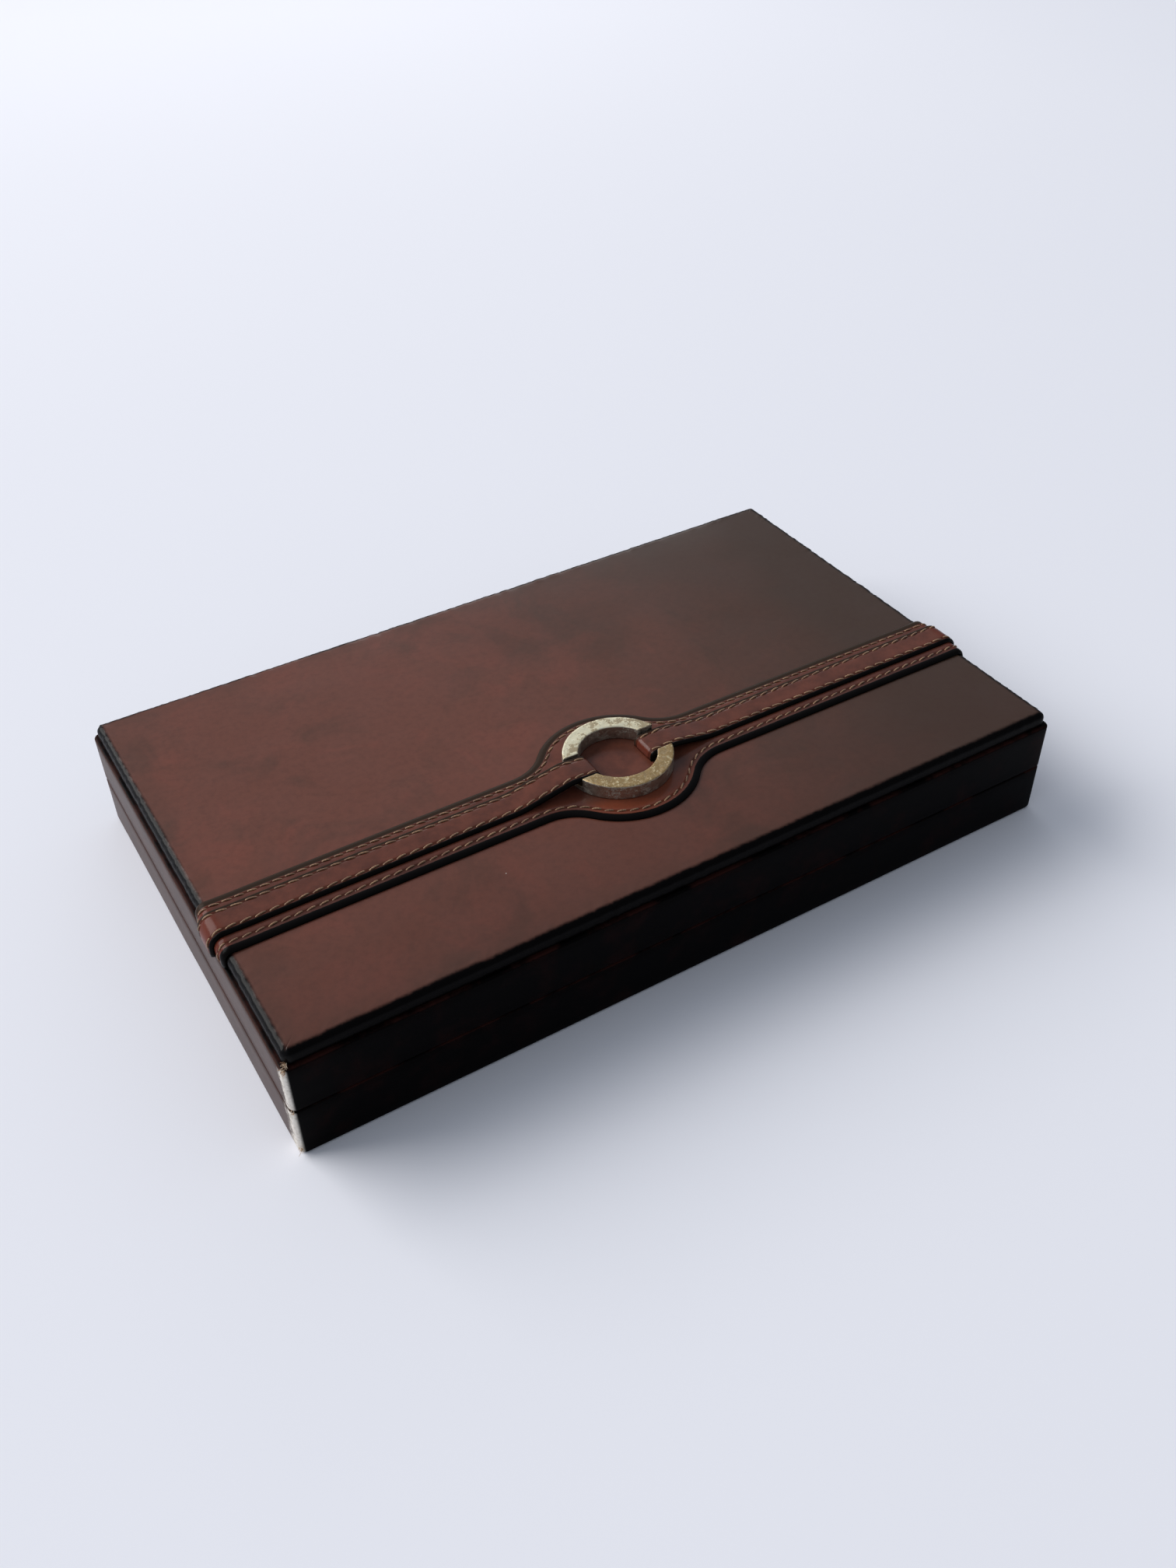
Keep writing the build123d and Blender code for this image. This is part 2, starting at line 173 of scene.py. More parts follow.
class Shader:
    """A node material with one Principled surface."""

    def __init__(self, name, **surface):
        self.material = bpy.data.materials.new(name)
        self.material.use_nodes = True
        self.tree = self.material.node_tree
        self.surface = next(n for n in self.tree.nodes if n.type == "BSDF_PRINCIPLED")
        self.set(**surface)

    def set(self, **inputs):
        """Sockets of the surface by name, with underscores for spaces."""
        for name, value in inputs.items():
            self.join(self.surface.inputs[name.replace("_", " ")], value)
        return self

    def join(self, socket, value):
        if isinstance(value, Value):
            self.tree.links.new(value.socket, socket)
        else:
            socket.default_value = value

    def node(self, kind, settings=None, inputs=None, output=0):
        """Adds a node: its settings first, then the values or links of its sockets."""
        made = self.tree.nodes.new("ShaderNode" + kind)
        for key, value in (settings or {}).items():
            setattr(made, key, value)
        for key, value in (inputs or {}).items():
            self.join(made.inputs[key], value)
        return Value(self, made.outputs[output])

    def place(self):
        """Object coordinates, in metres in the model's frame."""
        return self.node("TexCoord", output="Object")

    def axes(self):
        """The three object coordinates as values."""
        place = self.place()
        return [self.node("SeparateXYZ", None, {0: place}, name) for name in ("X", "Y", "Z")]

    def facing(self):
        """The three components of the surface's own normal, before bump."""
        normal = self.node("TexCoord", output="Normal")
        return [self.node("SeparateXYZ", None, {0: normal}, name) for name in ("X", "Y", "Z")]

    def noise(self, size, detail=3.0, roughness=0.55, place=None, distortion=0.0):
        """Noise whose features are about size metres across."""
        inputs = {
            "Vector": place or self.place(),
            "Scale": 1.0 / size,
            "Detail": detail,
            "Roughness": roughness,
            "Distortion": distortion,
        }
        return self.node("TexNoise", None, inputs, "Fac")

    def cells(self, size, feature="F1", output="Distance"):
        """Voronoi cells about size metres across."""
        inputs = {"Vector": self.place(), "Scale": 1.0 / size}
        return self.node("TexVoronoi", {"feature": feature}, inputs, output)

    def stretched(self, scale):
        """Object coordinates multiplied along each axis."""
        settings = {"operation": "MULTIPLY"}
        return self.node("VectorMath", settings, {0: self.place(), 1: scale})

    def mix(self, factor, first, second):
        """Colour first where factor is 0, second where it is 1."""
        colours = {
            key: (*value, 1.0) if isinstance(value, tuple) else value
            for key, value in ((6, first), (7, second))
        }
        return self.node("Mix", {"data_type": "RGBA"}, {0: factor, **colours}, 2)

    def attribute(self, name):
        """A number stored on the mesh's points."""
        return self.node("Attribute", {"attribute_name": name}, None, "Fac")

    def bump(self, height, distance, strength):
        """A surface normal from a height, where a height of 1 stands for distance metres."""
        inputs = {"Height": height, "Distance": distance, "Strength": strength}
        return self.node("Bump", None, inputs)


# ---------------------------------------------------------------- finishes

BLACK_DYE = (0.0012, 0.0008, 0.0009)
MAHOGANY = (0.142, 0.049, 0.032)
MAHOGANY_RED = (0.168, 0.052, 0.034)
MAHOGANY_DARK = (0.050, 0.029, 0.019)
RAW_LEATHER = (0.82, 0.77, 0.70)


def grain(shader, size=0.9 * mm):
    """Height of fine pores and shallow creases in polished leather, from 0 to 1."""
    pores = shader.cells(size, "SMOOTH_F1")
    creases = shader.noise(2.6 * size, 5.0, 0.6)
    return pores * 0.5 + creases * 0.5


def dust(shader, spacing, radius):
    """1 on sparse pale specks, 0 elsewhere."""
    near = shader.cells(spacing)
    keep = shader.node("SeparateColor", None, {0: shader.cells(spacing, output="Color")}, "Red")
    return near.ramp(radius / spacing, 0.5 * radius / spacing) * keep.ramp(0.80, 0.82)


def polished_panel():
    """Mahogany leather of the lid's panel, dyed black round its edges."""
    shader = Shader("panel_leather_polish", IOR=1.45, Specular_IOR_Level=0.03, Coat_Roughness=0.20)
    x, y, _ = shader.axes()
    broad = shader.noise(90 * mm, 2.0, 0.5)
    patches = shader.noise(30 * mm, 4.0, 0.62, distortion=0.8)
    fine = shader.noise(3.0 * mm, 5.0, 0.65)
    # Darker and greyer to the right and the back, redder to the left; the darkening to the right is partly
    # the leather's own tone and partly painted shade
    shade = (x * 5.0 + y * 0.8 + 0.36 + (broad - 0.5) * 0.9 + (patches - 0.5) * 0.35).ramp(0.1, 1.15)
    colour = shader.mix(shade * 0.95, MAHOGANY, MAHOGANY_DARK)
    red = (patches + (broad - 0.5) * 0.5).ramp(0.46, 0.66) * (1 - shade)
    colour = shader.mix(red * 0.8, colour, MAHOGANY_RED)
    smoky = shader.noise(48 * mm, 4.0, 0.6, distortion=1.2).ramp(0.48, 0.70)
    colour = shader.mix(smoky * 0.38, colour, MAHOGANY_DARK)
    colour = shader.mix(fine.ramp(0.35, 0.75) * 0.22, colour, (0.040, 0.016, 0.012))
    # Darker towards the front: painted shade for the weaker sheen there
    colour = shader.mix((0 - y).ramp(20 * mm, 110 * mm) * 0.42, colour, (0.050, 0.020, 0.014))
    # Black dye on the rounded edges, feathered on to the top
    inset_x = PANEL_HALF_LENGTH - abs(x)
    inset_y = PANEL_HALF_WIDTH - abs(y)
    ragged = (fine - 0.5) * 1.4 * mm + (patches - 0.5) * 1.4 * mm
    edge = inset_x.least(inset_y) + ragged
    dye = edge.ramp(3.5 * mm, 1.7 * mm)
    smoke = edge.ramp(14 * mm, 3.0 * mm) * 0.22
    colour = shader.mix(smoke, colour, MAHOGANY_DARK)
    colour = shader.mix(dye, colour, BLACK_DYE)
    colour = shader.mix(dust(shader, 16 * mm, 0.30 * mm), colour, (0.75, 0.70, 0.62))
    # Pleats where the leather is drawn over the edge
    pleats = shader.noise(1.1 * mm, 3.0, 0.5, shader.stretched((0.5, 1.0, 0.15)))
    drawn = edge.ramp(3.0 * mm, 1.6 * mm)
    height = grain(shader) + pleats * drawn * 5.0
    smudge = shader.noise(22 * mm, 4.0, 0.6)
    shader.set(
        Base_Color=colour,
        Roughness=smudge * 0.12 + 0.36,
        Coat_Weight=(0.34 + smudge * 0.27) * (1 - dye * 0.90) + dye * inset_x.ramp(4 * mm, 1 * mm) * 0.10,
        Normal=shader.bump(height, 0.05 * mm, 0.45),
    )
    return shader.material


def case_leather():
    """Nearly black leather of the box's sides, with a worn front left corner."""
    shader = Shader("case_leather_polish", IOR=1.45, Specular_IOR_Level=0.02, Coat_Roughness=0.24)
    _, y, z = shader.axes()
    nx, _, _ = shader.facing()
    mottle = shader.noise(14 * mm, 4.0, 0.6)
    fine = shader.noise(1.2 * mm, 6.0, 0.7)
    ends = abs(nx).ramp(0.45, 0.8)
    colour = shader.mix(mottle.ramp(0.45, 0.8), BLACK_DYE, (0.008, 0.0022, 0.0020))
    # The short ends are lighter brown than the front and back: painted sheen for the light they catch at a
    # glancing angle
    colour = shader.mix(ends, colour, shader.mix(mottle, (0.022, 0.008, 0.005), (0.062, 0.024, 0.016)))
    # The dye is rubbed through to red along folded edges; this red line is also a painted highlight on the
    # rounded rims
    lid_top, lid_rim, base_rim = [abs(z - edge) for edge in (lid_high.z, lid_low.z, base_high.z)]
    lip = lid_top.least(lid_rim).least(base_rim)
    rubbed = (lip + (fine - 0.5) * 0.7 * mm).ramp(0.7 * mm, 0.2 * mm) * mottle.ramp(0.40, 0.6)
    colour = shader.mix(rubbed * 0.3, colour, (0.070, 0.020, 0.015))
    # Raw leather at the front left corner, mostly on the short side
    flakes = shader.noise(5 * mm, 5.0, 0.7, shader.stretched((1.0, 1.0, 0.45)))
    beside = y + HALF_WIDTH + (fine - 0.5) * 9 * mm + (flakes - 0.5) * 16 * mm
    low = 9.6 * mm - z * 0.14
    raw = (beside / low).ramp(1.05, 0.20) * (0 - nx).ramp(0.30, 0.75)
    bare = shader.mix(fine.ramp(0.35, 0.8), RAW_LEATHER, (0.56, 0.50, 0.43))
    bare = shader.mix(flakes.ramp(0.58, 0.78) * 0.55, bare, (0.20, 0.13, 0.09))
    colour = shader.mix(raw * (1 - lip.ramp(1.0 * mm, 0.3 * mm)), colour, bare)
    # Less polish close to the rims
    dull = lip.ramp(5.5 * mm, 1.5 * mm)
    shader.set(
        Base_Color=colour,
        Roughness=raw * 0.3 + mottle * 0.1 + 0.40,
        Coat_Weight=(0.025 + ends * (0.21 + mottle * 0.16)) * (1 - raw * 0.8) * (1 - dull * 0.6),
        Normal=shader.bump(grain(shader), 0.05 * mm, 0.35),
    )
    return shader.material


def strap_leather(name, dye_inset, stitch_inset, turn=None):
    """Glossy strap leather with black painted edges. Its mesh stores the distance from the edge."""
    shader = Shader(name, IOR=1.45, Specular_IOR_Level=0.03, Coat_Roughness=0.18)
    x, y, _ = shader.axes()
    inset = shader.attribute("edge_distance")
    patches = shader.noise(9 * mm, 4.0, 0.6)
    fine = shader.noise(1.6 * mm, 5.0, 0.65)
    colour = shader.mix(patches.ramp(0.3, 0.7), (0.095, 0.030, 0.019), (0.155, 0.044, 0.025))
    # Redder on the lobe round the ring; darker along the near band, which is painted shadow of the narrow
    # strap
    beside = y - STRAP_Y
    near_ring = (x * x + beside * beside).ramp((36 * mm) ** 2, (26 * mm) ** 2)
    lobe = near_ring * (0 - beside).ramp(12 * mm, 20 * mm)
    colour = shader.mix(lobe * 0.8, colour, (0.215, 0.048, 0.020))
    near = (0 - beside).ramp(7.5 * mm, 10.5 * mm) * (1 - lobe)
    colour = shader.mix(near * 0.45, colour, (0.034, 0.012, 0.008))
    colour = shader.mix(fine * 0.45, colour, (0.050, 0.017, 0.011))
    # Redder and less polished where a strap turns down
    bent = abs(x).ramp(PANEL_HALF_LENGTH - 5 * mm, PANEL_HALF_LENGTH - 1 * mm)
    if turn:
        bent = bent.most(abs(x).ramp(turn + 2.0 * mm, turn))
    colour = shader.mix(bent * 0.6, colour, (0.120, 0.020, 0.010))
    # Painted shade darkens the sewn groove
    groove = abs(inset - stitch_inset).ramp(0.80 * mm, 0.30 * mm)
    colour = shader.mix(groove * 0.5, colour, (0.020, 0.008, 0.005))
    edge = inset + (fine - 0.5) * 0.5 * mm + (0 - beside).ramp(2 * mm, 8 * mm) * 0.22 * dye_inset
    dyed = edge.ramp(dye_inset + 0.30 * mm, dye_inset - 0.15 * mm)
    # Painted sheen: the edge paint is black on the near side and lighter brown on the far side, for the
    # bright room reflected there
    paint = shader.mix(beside.ramp(-4 * mm, 6 * mm), (0.0030, 0.0022, 0.0020), (0.034, 0.021, 0.014))
    colour = shader.mix(dyed, colour, paint)
    colour = shader.mix(dust(shader, 9 * mm, 0.22 * mm), colour, (0.60, 0.52, 0.42))
    shader.set(
        Base_Color=colour,
        Roughness=patches * 0.12 + 0.28,
        Coat_Weight=(0.30 + patches * 0.30) * (1 - groove * 0.9) * (1 - dyed * 0.86) * (1 - bent * 0.6),
        Normal=shader.bump(grain(shader, 0.6 * mm), 0.05 * mm, 0.4),
    )
    return shader.material


def waxed_thread():
    """Tan waxed thread with a fine twist."""
    shader = Shader("waxed_thread", Specular_IOR_Level=0.4, Sheen_Weight=0.2)
    along = shader.attribute("twist")
    twist = shader.node("Math", {"operation": "SINE"}, {0: along})
    worn = shader.noise(4 * mm, 3.0)
    colour = shader.mix(worn.ramp(0.35, 0.7), (0.200, 0.098, 0.046), (0.380, 0.215, 0.108))
    colour = shader.mix(twist * 0.22 + 0.22, colour, (0.12, 0.055, 0.028))
    shader.set(Base_Color=colour, Roughness=worn * 0.2 + 0.45, Normal=shader.bump(twist, 0.05 * mm, 0.6))
    return shader.material


def worn_plating():
    """Gilt plating on the ring, pitted and rubbed through to grey metal."""
    shader = Shader("worn_plating", IOR=1.5)
    x, y, _ = shader.axes()
    _, _, nz = shader.facing()
    top = nz.ramp(0.30, 0.70)
    blotch = shader.noise(5.0 * mm, 6.0, 0.66, distortion=0.2)
    fleck = shader.noise(1.1 * mm, 6.0, 0.75)
    # Faded to cream on the back half, and still gilt on the front half
    pale = ((y - STRAP_Y) * 40.0 - x * 10.0 + 0.40 + (blotch - 0.5) * 0.8).ramp(0.15, 0.75)
    plating = shader.mix(pale, (0.42, 0.275, 0.12), (0.95, 0.85, 0.59))
    bright = shader.mix(pale, (1.00, 0.86, 0.54), (1.00, 0.95, 0.74))
    plating = shader.mix(fleck.ramp(0.52, 0.62) * 0.9, plating, bright)
    patina = shader.mix(fleck, (0.14, 0.090, 0.040), (0.34, 0.24, 0.12))
    worn = (blotch + (fleck - 0.5) * 0.80).ramp(0.515, 0.585)
    face = shader.mix(worn * 0.80, plating, patina)
    wall = shader.mix(fleck, (0.33, 0.29, 0.235), (0.56, 0.50, 0.41))
    stain = shader.noise(4 * mm, 4.0, 0.6).ramp(0.5, 0.7)
    wall = shader.mix(stain * 0.5, wall, (0.22, 0.16, 0.11))
    colour = shader.mix(top, wall, face)
    height = blotch * 0.4 + fleck * 0.6 - worn * 0.5
    shader.set(
        Base_Color=colour,
        Metallic=0.92 - worn * top * 0.5,
        Roughness=0.34 + worn * 0.25 + (fleck - 0.5) * 0.3,
        Normal=shader.bump(height, 0.12 * mm, 0.6),
    )
    return shader.material


def suede(name, colour_low, colour_high, size=1.0):
    """Brushed suede or felt: a soft nap in uneven strokes."""
    shader = Shader(name, Sheen_Weight=0.5, Sheen_Roughness=0.5, Specular_IOR_Level=0.1)
    nap = shader.noise(0.35 * mm * size, 6.0, 0.75)
    strokes = shader.noise(14 * mm * size, 4.0, 0.6, shader.stretched((1.0, 0.35, 1.0)), 0.8)
    colour = shader.mix(strokes.ramp(0.3, 0.7), colour_low, colour_high)
    colour = shader.mix(nap.ramp(0.35, 0.75) * 0.5, colour, colour_low)
    shader.set(
        Base_Color=colour,
        Roughness=0.88 + nap * 0.1,
        Normal=shader.bump(nap + strokes * 0.3, 0.15 * mm, 0.5),
    )
    return shader.material


def brass():
    """Drawn brass with fine scratches and a little tarnish."""
    shader = Shader("hinge_brass_finish", IOR=1.5)
    scratch = shader.noise(0.5 * mm, 4.0, 0.6, shader.stretched((0.06, 1.0, 1.0)))
    tarnish = shader.noise(5 * mm, 5.0, 0.65)
    colour = shader.mix(tarnish.ramp(0.40, 0.70), (0.47, 0.325, 0.145), (0.22, 0.135, 0.06))
    shader.set(
        Base_Color=colour,
        Metallic=1.0,
        Roughness=0.28 + scratch * 0.2 + tarnish * 0.1,
        Normal=shader.bump(scratch, 0.03 * mm, 0.4),
    )
    return shader.material


def plain_wood(name, light, dark):
    """Straight-grained wood."""
    shader = Shader(name, Specular_IOR_Level=0.3)
    fibres = shader.noise(1.0 * mm, 5.0, 0.7, shader.stretched((1.0, 0.04, 1.0)))
    bands = shader.noise(9 * mm, 3.0, 0.5, shader.stretched((1.0, 0.1, 1.0)), 0.5)
    colour = shader.mix(bands, light, dark)
    colour = shader.mix(fibres.ramp(0.45, 0.7) * 0.6, colour, dark)
    shader.set(Base_Color=colour, Roughness=0.55 + fibres * 0.15, Normal=shader.bump(fibres, 0.05 * mm, 0.4))
    return shader.material


def plated_steel():
    """Small plated discs and pins."""
    shader = Shader("plated_steel", Metallic=1.0)
    cloud = shader.noise(1.5 * mm, 4.0)
    shader.set(
        Base_Color=shader.mix(cloud, (0.55, 0.55, 0.56), (0.72, 0.72, 0.72)),
        Roughness=0.25 + cloud * 0.15,
    )
    return shader.material


def foam():
    """Open-cell foam under the panel's leather."""
    shader = Shader("foam", Specular_IOR_Level=0.1)
    pores = shader.cells(0.6 * mm)
    shader.set(
        Base_Color=shader.mix(pores, (0.45, 0.40, 0.28), (0.74, 0.69, 0.54)),
        Roughness=0.95,
        Normal=shader.bump(pores, 0.2 * mm, 0.6),
    )
    return shader.material


# ---------------------------------------------------------------- mesh tools


def mesh_piece(name, points, faces, finish, body, values=None):
    """Makes a piece from points and faces, with optional numbers stored on its points."""
    data = bpy.data.meshes.new(name)
    data.from_pydata([tuple(p) for p in points], [], faces)
    data.polygons.foreach_set("use_smooth", [True] * len(faces))
    for key, numbers in (values or {}).items():
        data.attributes.new(key, "FLOAT", "POINT").data.foreach_set("value", numbers)
    data.materials.append(finish)
    data.update()
    piece = bpy.data.objects.new(name, data)
    bpy.context.scene.collection.objects.link(piece)
    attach(piece, body)
    return piece


def join_rings(count, size, first=0, closed=False):
    """Faces between rings of equal size; the last ring joins the first when closed."""
    faces = []
    for ring in range(count if closed else count - 1):
        a = first + ring * size
        b = first + (ring + 1) % count * size
        for i in range(size):
            j = (i + 1) % size
            faces.append((a + i, a + j, b + j, b + i))
    return faces


def rounded_outline(half_x, half_y, radius, along_x=68, along_y=42, at_corner=8):
    """Points anticlockwise round a rectangle with rounded corners, the same number at any size."""
    smallest_radius = 0.4 * mm
    radius = max(radius, smallest_radius)
    corners = (
        (half_x - radius, -half_y + radius, -90.0),
        (half_x - radius, half_y - radius, 0.0),
        (-half_x + radius, half_y - radius, 90.0),
        (-half_x + radius, -half_y + radius, 180.0),
    )
    points = []
    for number, (cx, cy, start) in enumerate(corners):
        for i in range(at_corner + 1):
            angle = math.radians(start + 90.0 * i / at_corner)
            points.append(Vector((cx + radius * math.cos(angle), cy + radius * math.sin(angle))))
        next_x, next_y, next_start = corners[(number + 1) % 4]
        begin = points[-1]
        angle = math.radians(next_start)
        end = Vector((next_x + radius * math.cos(angle), next_y + radius * math.sin(angle)))
        steps = along_y if number % 2 == 0 else along_x
        points += [begin.lerp(end, i / steps) for i in range(1, steps)]
    return points


def arc(cx, cy, radius, start, end, steps):
    """Points of an arc, in degrees."""
    angles = (math.radians(start + (end - start) * i / steps) for i in range(steps + 1))
    return [(cx + radius * math.cos(a), cy + radius * math.sin(a)) for a in angles]


def wander(point, size, amount):
    """A smooth random offset that depends on the place alone."""
    return amount * noise.noise(Vector(point) / size)


def rings_from_profile(profile, half_x, half_y, corner, waviness):
    """A ring of points for each (outward offset, height) of the profile."""
    points = []
    for offset, height in profile:
        outline = rounded_outline(half_x + offset, half_y + offset, corner + offset)
        outside = offset > -2 * mm
        for p in outline:
            shift = wander((p.x, p.y, height * 2), 28 * mm, waviness) if outside else 0.0
            scale = 1.0 + shift / max(abs(p.x) + abs(p.y), 1 * mm)
            points.append(Vector((p.x * scale, p.y * scale, height)))
    return points, len(points) // len(profile)


# ---------------------------------------------------------------- the box's leather


def turned_edge(height, into):
    """Profile of a leather edge turned in over a rim; into is -1 where the leather lies below height."""
    bevel = 0.2 * mm
    return [
        (-3 * mm, height),
        (-5.5 * mm, height),
        (-TURN_IN + bevel, height),
        (-TURN_IN, height + into * bevel),
        (-TURN_IN, height + into * LEATHER),
    ]


def upright(start, end):
    """Profile of the flat side between two rounded edges, with both ends left out."""
    steps = 8
    return [(0.0, start + (end - start) * i / steps) for i in range(1, steps)]


def lid_shell(finish):
    """Leather round the lid's walls: one closed solid with rounded outer edges, turned in over both rims."""
    bottom, top = lid_low.z, lid_high.z
    rim_round, top_round = 0.9 * mm, 1.1 * mm
    profile = arc(-rim_round, bottom + rim_round, rim_round, -90, 0, 6)
    profile += upright(bottom + rim_round, top - top_round)
    profile += arc(-top_round, top - top_round, top_round, 0, 90, 6)
    profile += turned_edge(top, -1)
    profile += [(-LEATHER, top - LEATHER), (-LEATHER, bottom + LEATHER)]
    profile += reversed(turned_edge(bottom, 1))
    points, size = rings_from_profile(profile, HALF_LENGTH, HALF_WIDTH, CORNER, WAVINESS)
    faces = join_rings(len(profile), size, closed=True)
    return mesh_piece("lid_skin", points, faces, finish, "lid")


def base_shell(finish):
    """Leather of the base with its underside in one piece: rim, sides, rounded foot and bottom."""
    top = base_high.z
    rim_round, foot_round = 0.9 * mm, 1.6 * mm
    middle = 103 * mm
    profile = turned_edge(top, -1)[::-1]
    profile += arc(-rim_round, top - rim_round, rim_round, 90, 0, 6)
    profile += upright(top - rim_round, foot_round)
    profile += arc(-foot_round, foot_round, foot_round, 0, -90, 7)
    profile += [(-inset * mm, 0.0) for inset in (6, 14, 26, 40, 55, 70, 85, 98)]
    profile += [(-middle, 0.0)]
    points, size = rings_from_profile(profile, HALF_LENGTH, HALF_WIDTH, CORNER, WAVINESS)
    faces = [tuple(reversed(f)) for f in join_rings(len(profile), size)]
    last = (len(profile) - 1) * size
    faces.append(tuple(reversed(range(last, last + size))))
    # Inner face, so that the leather is a closed sheet with a thickness
    inside = [(-middle, LEATHER), (-8 * mm, LEATHER), (-LEATHER, LEATHER), (-LEATHER, top - LEATHER)]
    more, size = rings_from_profile(inside, HALF_LENGTH, HALF_WIDTH, CORNER, 0.0)
    first = len(points)
    points += more
    faces += [tuple(reversed(f)) for f in join_rings(len(inside), size, first)]
    faces.append(tuple(range(first, first + size)))
    # The last ring inside joins the turned-in edge, which is the first ring of all
    a = first + (len(inside) - 1) * size
    faces += [(a + i, i, (i + 1) % size, a + (i + 1) % size) for i in range(size)]
    return mesh_piece("base_skin", points, faces, finish, "base")


# ---------------------------------------------------------------- the padded panel


def crown(x, y):
    """Height of the panel's top over PANEL_TOP: about 0 in the middle, and below 0 towards the edges."""
    u = min(abs(x) / PANEL_HALF_LENGTH, 1.0)
    v = min(abs(y) / PANEL_HALF_WIDTH, 1.0)
    swell = (1 - u**6) * (1 - v**6)
    return PANEL_CROWN * swell - PANEL_CROWN + wander((x, y, 0.3), 45 * mm, 0.05 * mm) * swell


def panel_cover(finish):
    """The leather-covered padded panel: a closed form with soft gathered edges and a slight crown."""
    bottom = panel_low.z
    foot = 0.9 * mm
    top = PANEL_TOP - PANEL_CROWN
    profile = [(-9 * mm, bottom), (-3 * mm, bottom)]
    profile += arc(-foot, bottom + foot, foot, -90, 0, 5)
    profile += [(0.0, bottom + foot + (top - PANEL_EDGE - bottom - foot) * i / 3) for i in (1, 2)]
    profile += arc(-PANEL_EDGE, top - PANEL_EDGE, PANEL_EDGE, 0, 90, 9)
    insets = [4.0, 5.5, 7.5] + [10.0 + 4.0 * i for i in range(24)]
    profile += [(-inset * mm, top) for inset in insets]
    points = []
    # Close steps, so that the outline can hold the small gathers of the drawn leather
    steps = (272, 164)
    rim = rounded_outline(PANEL_HALF_LENGTH, PANEL_HALF_WIDTH, CORNER, *steps)
    gather_size, least_depth, extra_depth = 1.7 * mm, 0.10 * mm, 0.45 * mm
    gathers = []
    for p in rim:
        depth = least_depth + extra_depth * abs(noise.noise(p.to_3d() / (30 * mm)))
        gathers.append(wander((p.x, p.y, 0.2), gather_size, depth))
    for offset, height in profile:
        half_x, half_y = PANEL_HALF_LENGTH + offset, PANEL_HALF_WIDTH + offset
        outline = rounded_outline(half_x, half_y, CORNER + offset, *steps)
        drawn = max(0.0, 1.0 + (offset + PANEL_EDGE) / (2 * mm)) if offset < -PANEL_EDGE else 1.0
        for p, gather in zip(outline, gathers):
            lift = PANEL_CROWN + crown(p.x, p.y) if height >= top - 1e-9 else 0.0
            lift += gather * drawn if height > top - PANEL_EDGE else 0.0
            shift = wander((p.x, p.y, 0.1), 24 * mm, WAVINESS) + gather if offset > -3 * mm else 0.0
            scale = 1.0 + shift / (abs(p.x) + abs(p.y))
            points.append(Vector((p.x * scale, p.y * scale, height + lift)))
    size = len(points) // len(profile)
    faces = join_rings(len(profile), size)
    last = (len(profile) - 1) * size
    faces.append(tuple(range(last, last + size)))
    faces.append(tuple(reversed(range(size))))
    return mesh_piece("panel_cover", points, faces, finish, "lid")


# ---------------------------------------------------------------- straps and their stitching


def rounded_path(corners, radii, step):
    """Points along straight runs joined by arcs, in a plane."""
    corners = [Vector(c) for c in corners]
    path = [corners[0]]
    for before, corner, after, radius in zip(corners, corners[1:], corners[2:], radii):
        into = (corner - before).normalized()
        out = (after - corner).normalized()
        turn = math.acos(max(-1.0, min(1.0, into.dot(out))))
        reach = radius * math.tan(turn / 2)
        side = 1.0 if into.x * out.y - into.y * out.x > 0 else -1.0
        centre = corner - into * reach + Vector((-into.y, into.x)) * radius * side
        start = corner - into * reach - centre
        steps = max(4, int(radius * turn / (0.5 * mm)))
        for i in range(steps + 1):
            angle = side * turn * i / steps
            c, s = math.cos(angle), math.sin(angle)
            path.append(centre + Vector((start.x * c - start.y * s, start.x * s + start.y * c)))
    path.append(corners[-1])
    dense = [path[0]]
    for p in path[1:]:
        gap = (p - dense[-1]).length
        if gap < 1e-6:
            continue
        pieces = max(1, round(gap / step))
        begin = dense[-1]
        dense += [begin.lerp(p, i / pieces) for i in range(1, pieces + 1)]
    return dense


def normals_of(path, side):
    """Unit normals of a plane path, on its left for side 1 and on its right for side -1."""
    normals = []
    for i in range(len(path)):
        along = path[min(i + 1, len(path) - 1)] - path[max(i - 1, 0)]
        normals.append(Vector((-along.y, along.x)).normalized() * side)
    return normals


def lobed_half_width(x, inset):
    """Half the wide strap's width at x, less an inset that is measured square to its edge."""
    straight = WIDE_HALF - inset
    lobe = LOBE_RADIUS - inset
    blend = LOBE_BLEND + inset
    centre_x = math.sqrt((lobe + blend) ** 2 - (straight + blend) ** 2)
    meet = centre_x * lobe / (lobe + blend)
    x = abs(x)
    if x < meet:
        return math.sqrt(lobe**2 - x**2)
    if x < centre_x:
        return straight + blend - math.sqrt(blend**2 - (centre_x - x) ** 2)
    return straight


def strap_section(height, dye, stitch):
    """(inset, height) of half a strap's top: rounded black edge, crease, sewn groove, full middle."""
    return [
        (0.0, 0.04 * mm),
        (0.01 * mm, 0.34 * height),
        (0.06 * dye, 0.54 * height),
        (0.16 * dye, 0.71 * height),
        (0.30 * dye, 0.85 * height),
        (0.46 * dye, 0.945 * height),
        (0.64 * dye, 0.975 * height),
        (0.84 * dye, 0.945 * height),
        (dye, 0.90 * height),
        (dye + 0.25 * mm, 0.925 * height),
        (stitch - 0.40 * mm, 0.955 * height),
        (stitch, 0.955 * height - 0.16 * mm),
        (stitch + 0.45 * mm, 0.96 * height),
        (stitch + 1.3 * mm, height),
    ]


